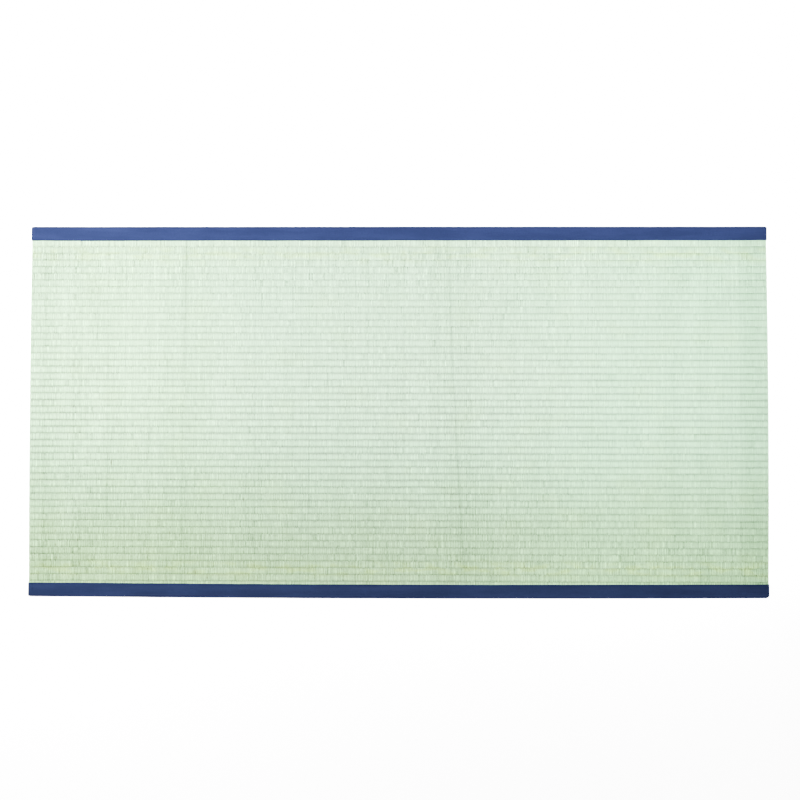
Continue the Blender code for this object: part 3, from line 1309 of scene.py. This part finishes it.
@dataclass
class Border:
    """A strip of cloth folded round a long edge, with its own edges turned in."""

    form: MatForm
    side: Side
    width: float = 31.7 * MM
    puff: float = 1.1 * MM
    flare: float = 0.0
    sewn_down: float = 0.32 * MM
    drawn_up: float = 0.3 * MM
    cloth: float = 0.5 * MM
    turned_in: float = 7 * MM
    column_step: float = 12 * MM
    fold_lines: int = 10
    edge_wave: float = 0.3 * MM
    fold_wave: float = 0.1 * MM
    last_line: float = 6 * MM
    phase: float = 0.0

    @property
    def name(self) -> str:
        """The CAD node that the strip stands for."""
        return f"border_{self.side.name.lower()}"

    def wave(self, x: np.ndarray, lengths: tuple[float, ...]) -> np.ndarray:
        """A slow, uneven wave along the strip, from -1 to 1."""
        waves = [np.sin(2 * math.pi * x / length + self.phase * (n + 1)) for n, length in enumerate(lengths)]
        return sum(waves) / len(lengths)

    def inner_edge(self, x: np.ndarray) -> np.ndarray:
        """Y of the strip's inner edge, as uneven as hand-guided sewing leaves it."""
        straight = self.form.edge_y(self.side, x) - self.side.value * self.width
        return straight + self.edge_wave * self.wave(x, (0.53, 0.21, 0.087))

    def sink(self, inside: np.ndarray | float) -> np.ndarray:
        """How far the seam draws the upper layer down, by the distance from the inner edge."""
        return self.sewn_down * (1 - smooth_step(np.asarray(inside) / (7 * MM)))

    def section(self, x: np.ndarray) -> np.ndarray:
        """The middle of the cloth round the mat's edge, from its upper to its lower turned-in edge.

        Args:
            x: Places along the strip.

        Returns:
            Y and Z of the section's points, shaped (places, points, 2).
        """
        form, sign, skin = self.form, self.side.value, self.cloth / 2
        height = form.border_height(x)
        radius = height / 2
        edge = form.edge_y(self.side, x) - sign * form.corner(self.side, x)
        edge = edge + sign * (self.puff - self.flare * x / form.half)
        edge = edge + self.fold_wave * self.wave(x, (0.31, 0.113))
        centre = edge - sign * radius
        inner = self.inner_edge(x)
        top, fold = height - skin, self.cloth * 0.55
        points = []
        for inside in (self.turned_in, self.turned_in / 2):
            points.append((inner + sign * inside, top - 2 * fold - self.sink(inside)))
        for angle in np.linspace(-90, 90, 6):
            turn = math.radians(angle)
            bend = top - self.sewn_down - fold + fold * math.sin(turn)
            points.append((inner + sign * fold * (1.5 - math.cos(turn)), bend))
        swell = 0.75 + 0.25 * self.wave(x, (0.37, 0.14, 0.061))
        for share in (0.07, 0.14, 0.24, 0.42, 0.62, 0.82):
            rise = form.border_crown * math.sin(math.pi * share) * swell
            sink = self.sink(share * np.abs(centre - inner))
            points.append((inner + (centre - inner) * share, top + rise - sink))
        for angle in np.linspace(90, -90, self.fold_lines):
            turn, reach = math.radians(angle), radius - skin
            points.append((centre + sign * reach * math.cos(turn), radius + reach * math.sin(turn)))
        for below in (0.5 * (centre + inner), inner + sign * self.last_line):
            points.append((below, np.full_like(x, skin)))
        for angle in np.linspace(-90, 90, 6):
            turn = math.radians(angle)
            bend = skin + self.drawn_up + fold + fold * math.sin(turn)
            points.append((inner + sign * fold * (1.5 - math.cos(turn)), bend))
        points.append((inner + sign * self.turned_in, np.full_like(x, skin + 2 * fold)))
        return np.stack([np.stack(np.broadcast_arrays(y, z), axis=-1) for y, z in points], axis=1)

    def stations(self) -> np.ndarray:
        """Lists the places along the strip at which its section is drawn.

        Returns:
            Their X, closer together at the two ends.
        """
        form = self.form
        tip = form.half + form.border_overhang
        corner = form.half - form.corner_length
        middle = np.linspace(-corner, corner, int(2 * corner / self.column_step))
        end = np.linspace(corner, tip, 7)[1:]
        return np.concatenate([-end[::-1], middle, end])

    def build(self) -> bpy.types.Object:
        """Makes the strip as a grid laid round the edge, and gives it the cloth's thickness.

        Returns:
            The piece.
        """
        x = self.stations()
        section = self.section(x)
        columns, rows = section.shape[:2]
        thing = flat_grid(f"{self.name}_cloth", columns, rows, slab=False)
        column, row = grid_places(corners(thing), columns, rows)
        placed = np.column_stack([x[column], section[column, row]])
        set_corners(thing, placed)
        self.map_cloth(thing, x, section, column, row)
        self.face_outwards(thing)
        wall = thing.modifiers.new("cloth", "SOLIDIFY")
        wall.thickness = self.cloth
        wall.offset = 0.0
        wall.use_even_offset = True
        apply_modifiers(thing)
        return thing

    def map_cloth(
        self, thing: bpy.types.Object, x: np.ndarray, section: np.ndarray, column: np.ndarray, row: np.ndarray
    ) -> None:
        """Lays the piece's map out in metres: U along the strip and V the way round its section.

        Args:
            thing: The strip, while it is still a single layer.
            x: Places along it.
            section: Its section at each place.
            column: Each point's place, by number.
            row: Each point's number in the section.
        """
        steps = np.linalg.norm(np.diff(section[len(x) // 2], axis=0), axis=1)
        way = np.concatenate([[0.0], np.cumsum(steps)])
        loops = np.empty(len(thing.data.loops), np.int32)
        thing.data.loops.foreach_get("vertex_index", loops)
        layer = thing.data.uv_layers.active or thing.data.uv_layers.new(name="cloth")
        layer.name = "cloth"
        spots = np.column_stack([x[column] + 1.0, way[row]])[loops]
        layer.data.foreach_set("uv", spots.reshape(-1).astype(np.float32))

    def face_outwards(self, thing: bpy.types.Object) -> None:
        """Turns the strip's faces so that its upper layer looks up."""
        highest = max(thing.data.polygons, key=lambda face: face.center.z)
        if highest.normal.z < 0:
            thing.data.flip_normals()

    def dress(self, thing: bpy.types.Object, material: bpy.types.Material, sewn_on: bpy.types.Object) -> None:
        """Finishes the strip and hides the imported part that it stands for.

        Args:
            thing: The strip.
            material: The cloth's material.
            sewn_on: Its stitches; not used.
        """
        form = self.form
        dress(thing, material)
        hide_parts(self.name)
        around = 2 * (self.width + self.turned_in) + float(form.border_height(np.array(0.0)))


@dataclass
class Stitches:
    """The seam that holds a border: a line of stitches above and one below, near its inner edge."""

    border: Border
    pitch: float = 5 * MM
    length: float = 4.1 * MM
    thread: float = 0.42 * MM
    inset: float = 2.4 * MM
    shoulder: float = 0.7
    above_cloth: float = 0.04 * MM
    below_cloth: float = 0.12 * MM
    dive: float = 0.3 * MM
    lowest: float = 0.02 * MM
    seed: int = 11

    def build(self) -> bpy.types.Object:
        """Makes both lines of stitches as one piece.

        Returns:
            The piece.
        """
        border, form = self.border, self.border.form
        name = f"{border.name}_stitches"
        thing = tapered_bar(name, sides=6, length=1.4, shoulder=self.shoulder, axis=0)
        count = int(form.length / self.pitch) - 1
        local = repeated(thing, count, 2)
        random = np.random.default_rng(self.seed)
        shift = random.normal(0.0, 0.06 * MM, (1, count, 1))
        long = self.length * random.normal(1.0, 0.04, (1, count, 1))
        middle = ((np.arange(count) - (count - 1) / 2) * self.pitch)[None, :, None]
        x = middle + local[..., 0] * long / 2
        y = border.inner_edge(x) + border.side.value * self.inset + shift + local[..., 1] * self.thread / 2
        upper = np.array([1.0, -1.0])[:, None, None]
        tip = np.abs(local[..., 0]) > 0.9
        height = form.border_height(x)
        seam = height + self.above_cloth - border.sink(self.inset)
        surface = np.where(upper > 0, seam, self.below_cloth)
        z = surface + local[..., 2] * self.thread / 2 - upper * np.where(tip, self.dive, 0.0)
        z = np.maximum(z, self.lowest)
        set_corners(thing, np.stack([x, y, z], axis=-1))
        return thing

    def dress(self, thing: bpy.types.Object, material: bpy.types.Material) -> None:
        """Finishes the stitches."""
        dress(thing, material)


@dataclass(frozen=True)
class Lamp:
    """A round, soft lamp over the mat, with the way it is turned and how wide it shines."""

    name: str
    place: tuple[float, float, float]
    aim: tuple[float, float, float]
    size: float
    spread: float
    power: float

    def hang(self) -> None:
        """Adds the lamp, which itself isn't seen."""
        bpy.ops.object.light_add(type="AREA", location=self.place)
        lamp = bpy.context.object
        lamp.name = self.name
        lamp.visible_camera = False
        lamp.data.shape = "DISK"
        lamp.data.size = self.size
        lamp.data.spread = math.radians(self.spread)
        lamp.data.energy = self.power
        way = [to - place for to, place in zip(self.aim, self.place)]
        lean = math.atan2(math.hypot(way[0], way[1]), -way[2])
        lamp.rotation_euler = (lean, 0.0, math.atan2(way[1], way[0]) - math.pi / 2)
        LOG.info("%s hung", self.name)


@dataclass
class Studio:
    """The floor, the lights and the camera."""

    floor_size: float = 14.0
    floor_z: float = -0.2 * MM
    lens: float = 60.0
    camera_place: tuple[float, float, float] = (0.0483, -0.0726, 3.188)
    camera_tilt: tuple[float, float, float] = (1.787, 0.765, 0.082)
    lamps: tuple[Lamp, ...] = (
        Lamp("left lamp", (-1.184, 0.639, 1.9), (-0.926, 0.308, 0.0), size=1.0, spread=80.2, power=19.5),
        Lamp("right lamp", (0.891, -0.421, 1.9), (0.503, 0.791, 0.0), size=1.0, spread=80.2, power=19.5),
    )
    sky: float = 0.62

    def build(self) -> None:
        """Sets the stage."""
        self.lay_floor()
        for lamp in self.lamps:
            lamp.hang()
        self.fill_air()
        self.set_camera()
        self.develop()

    def lay_floor(self) -> None:
        """Adds the floor."""
        clear_selection()
        bpy.ops.mesh.primitive_plane_add(size=self.floor_size, location=(0, 0, self.floor_z))
        floor = bpy.context.object
        floor.name = "floor"
        bpy.ops.object.transform_apply(location=True, rotation=True, scale=True)
        floor.data.materials.append(FloorFinish().material())
        LOG.info("floor laid")

    def fill_air(self) -> None:
        """Sets the even light from all round."""
        world = bpy.data.worlds.new("studio air")
        world.use_nodes = True
        bpy.context.scene.world = world
        air = world.node_tree.nodes["Background"]
        air.inputs["Color"].default_value = (1.0, 1.0, 1.0, 1.0)
        air.inputs["Strength"].default_value = self.sky

    def set_camera(self) -> None:
        """Adds the camera, almost straight above the mat."""
        turned = [math.radians(angle) for angle in self.camera_tilt]
        bpy.ops.object.camera_add(location=self.camera_place, rotation=turned)
        camera = bpy.context.object
        camera.data.lens = self.lens
        camera.data.sensor_width = 36.0
        bpy.context.scene.camera = camera

    def develop(self) -> None:
        """Chooses how light becomes picture."""
        settings = bpy.context.scene.view_settings
        settings.view_transform = "AgX"
        settings.look = "AgX - Very High Contrast"


def main() -> None:
    """Builds the mat and its stage."""
    logging.basicConfig(level=logging.INFO, format="%(name)s: %(message)s")
    form = MatForm()
    tones = RushTones(form)
    stems = RushStems(form)
    bands = stems.build()
    stems.dress(bands, StemFinish(tones))
    sheet = RushSheet(form)
    sheet.dress(sheet.build(), WeaveFinish(tones, stems.pitch), bands)
    thread = ThreadFinish().material()
    # Both borders are the same cloth; the front's navy is painted lighter than the back's to stand in for the
    # light on it.
    back_cloth = ClothFinish("back border cloth", navy=(0.0417, 0.0515, 0.1147), painted_shade_to_right=0.07)
    front_cloth = ClothFinish("front border cloth", navy=(0.0479, 0.0586, 0.1203), painted_shade_to_right=0.065)
    back = Border(form, Side.BACK, width=32.3 * MM, puff=1.2 * MM, flare=0.5 * MM, phase=0.6)
    front = Border(form, Side.FRONT, width=31.8 * MM, phase=2.3)
    for border, cloth in ((back, back_cloth), (front, front_cloth)):
        stitches = Stitches(border)
        line = stitches.build()
        stitches.dress(line, thread)
        border.dress(border.build(), cloth.material(), line)
    Studio().build()


if __name__ == "__main__":
    main()
